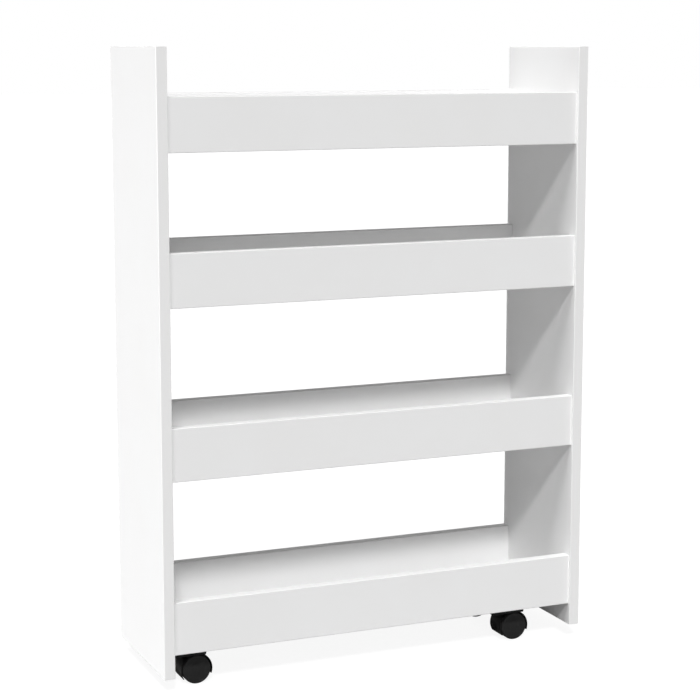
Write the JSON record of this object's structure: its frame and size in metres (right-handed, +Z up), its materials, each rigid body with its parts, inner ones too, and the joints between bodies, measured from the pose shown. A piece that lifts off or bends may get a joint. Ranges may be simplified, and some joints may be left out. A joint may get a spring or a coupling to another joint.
{
  "type": "pantry cart",
  "caption": "Narrow rolling cart with open trays held between two tall side panels, on twin-wheel swivel casters.",
  "frame": {"origin": "at floor level under the middle of the cart", "axes": "+Z up, +X to the cart's right as seen from its front, +Y from the front to the back"},
  "size_m": [0.63, 0.206, 0.8555],
  "materials": {
    "panel_white": "satin white melamine on particle board",
    "shelf_white": "satin white melamine on particle board",
    "rail_white": "satin white melamine on particle board",
    "dowel_wood": "bare fluted beech",
    "fitting_zinc": "die-cast zinc",
    "cover_white": "moulded white plastic",
    "screw_steel": "zinc plated",
    "block_black": "moulded black plastic",
    "hood_black": "moulded black plastic",
    "wheel_black": "moulded black nylon",
    "pin_steel": "bright steel",
    "washer_nylon": "natural nylon"
  },
  "bodies": {
    "cart": {"side_panel_left": "panel_white", "side_panel_right": "panel_white", "shelf_board_1": "shelf_white", "shelf_board_2": "shelf_white", "shelf_board_3": "shelf_white", "shelf_board_4": "shelf_white", "front_rail_1": "rail_white", "front_rail_2": "rail_white", "front_rail_3": "rail_white", "front_rail_4": "rail_white", "back_rail_1": "rail_white", "back_rail_2": "rail_white", "back_rail_3": "rail_white", "back_rail_4": "rail_white", "rail_end_dowels": "dowel_wood", "board_end_dowels": "dowel_wood", "board_edge_dowels": "dowel_wood", "cam_bolts": "fitting_zinc", "cam_locks": "fitting_zinc", "cam_covers": "cover_white", "caster_screws": "screw_steel", "caster_front_left_block": "block_black", "caster_front_left_kingpin": "pin_steel", "caster_front_left_washer": "washer_nylon", "caster_front_left_ring": "pin_steel", "caster_front_right_block": "block_black", "caster_front_right_kingpin": "pin_steel", "caster_front_right_washer": "washer_nylon", "caster_front_right_ring": "pin_steel", "caster_back_left_block": "block_black", "caster_back_left_kingpin": "pin_steel", "caster_back_left_washer": "washer_nylon", "caster_back_left_ring": "pin_steel", "caster_back_right_block": "block_black", "caster_back_right_kingpin": "pin_steel", "caster_back_right_washer": "washer_nylon", "caster_back_right_ring": "pin_steel"},
    "front_left_swivel": {"caster_front_left_hood": "hood_black", "caster_front_left_axle": "pin_steel"},
    "front_left_wheel_front": {"caster_front_left_wheel_front": "wheel_black"},
    "front_left_wheel_back": {"caster_front_left_wheel_back": "wheel_black"},
    "front_right_swivel": {"caster_front_right_hood": "hood_black", "caster_front_right_axle": "pin_steel"},
    "front_right_wheel_front": {"caster_front_right_wheel_front": "wheel_black"},
    "front_right_wheel_back": {"caster_front_right_wheel_back": "wheel_black"},
    "back_left_swivel": {"caster_back_left_hood": "hood_black", "caster_back_left_axle": "pin_steel"},
    "back_left_wheel_front": {"caster_back_left_wheel_front": "wheel_black"},
    "back_left_wheel_back": {"caster_back_left_wheel_back": "wheel_black"},
    "back_right_swivel": {"caster_back_right_hood": "hood_black", "caster_back_right_axle": "pin_steel"},
    "back_right_wheel_front": {"caster_back_right_wheel_front": "wheel_black"},
    "back_right_wheel_back": {"caster_back_right_wheel_back": "wheel_black"}
  },
  "joints": [
    {"name": "front_left_swivel", "type": "hinge", "parent": "cart", "child": "front_left_swivel", "pos_m": [-0.266, -0.056, 0.042], "axis": [0, 0, 1], "continuous": true},
    {"name": "front_left_wheel_front_spin", "type": "hinge", "parent": "front_left_swivel", "child": "front_left_wheel_front", "pos_m": [-0.26, -0.056, 0.02], "axis": [0, 1, 0], "continuous": true},
    {"name": "front_left_wheel_back_spin", "type": "hinge", "parent": "front_left_swivel", "child": "front_left_wheel_back", "pos_m": [-0.26, -0.056, 0.02], "axis": [0, 1, 0], "continuous": true},
    {"name": "front_right_swivel", "type": "hinge", "parent": "cart", "child": "front_right_swivel", "pos_m": [0.2195, -0.056, 0.042], "axis": [0, 0, 1], "continuous": true},
    {"name": "front_right_wheel_front_spin", "type": "hinge", "parent": "front_right_swivel", "child": "front_right_wheel_front", "pos_m": [0.2255, -0.056, 0.02], "axis": [0, 1, 0], "continuous": true},
    {"name": "front_right_wheel_back_spin", "type": "hinge", "parent": "front_right_swivel", "child": "front_right_wheel_back", "pos_m": [0.2255, -0.056, 0.02], "axis": [0, 1, 0], "continuous": true},
    {"name": "back_left_swivel", "type": "hinge", "parent": "cart", "child": "back_left_swivel", "pos_m": [-0.266, 0.061, 0.042], "axis": [0, 0, 1], "continuous": true},
    {"name": "back_left_wheel_front_spin", "type": "hinge", "parent": "back_left_swivel", "child": "back_left_wheel_front", "pos_m": [-0.26, 0.061, 0.02], "axis": [0, 1, 0], "continuous": true},
    {"name": "back_left_wheel_back_spin", "type": "hinge", "parent": "back_left_swivel", "child": "back_left_wheel_back", "pos_m": [-0.26, 0.061, 0.02], "axis": [0, 1, 0], "continuous": true},
    {"name": "back_right_swivel", "type": "hinge", "parent": "cart", "child": "back_right_swivel", "pos_m": [0.2195, 0.061, 0.042], "axis": [0, 0, 1], "continuous": true},
    {"name": "back_right_wheel_front_spin", "type": "hinge", "parent": "back_right_swivel", "child": "back_right_wheel_front", "pos_m": [0.2255, 0.061, 0.02], "axis": [0, 1, 0], "continuous": true},
    {"name": "back_right_wheel_back_spin", "type": "hinge", "parent": "back_right_swivel", "child": "back_right_wheel_back", "pos_m": [0.2255, 0.061, 0.02], "axis": [0, 1, 0], "continuous": true}
  ]
}
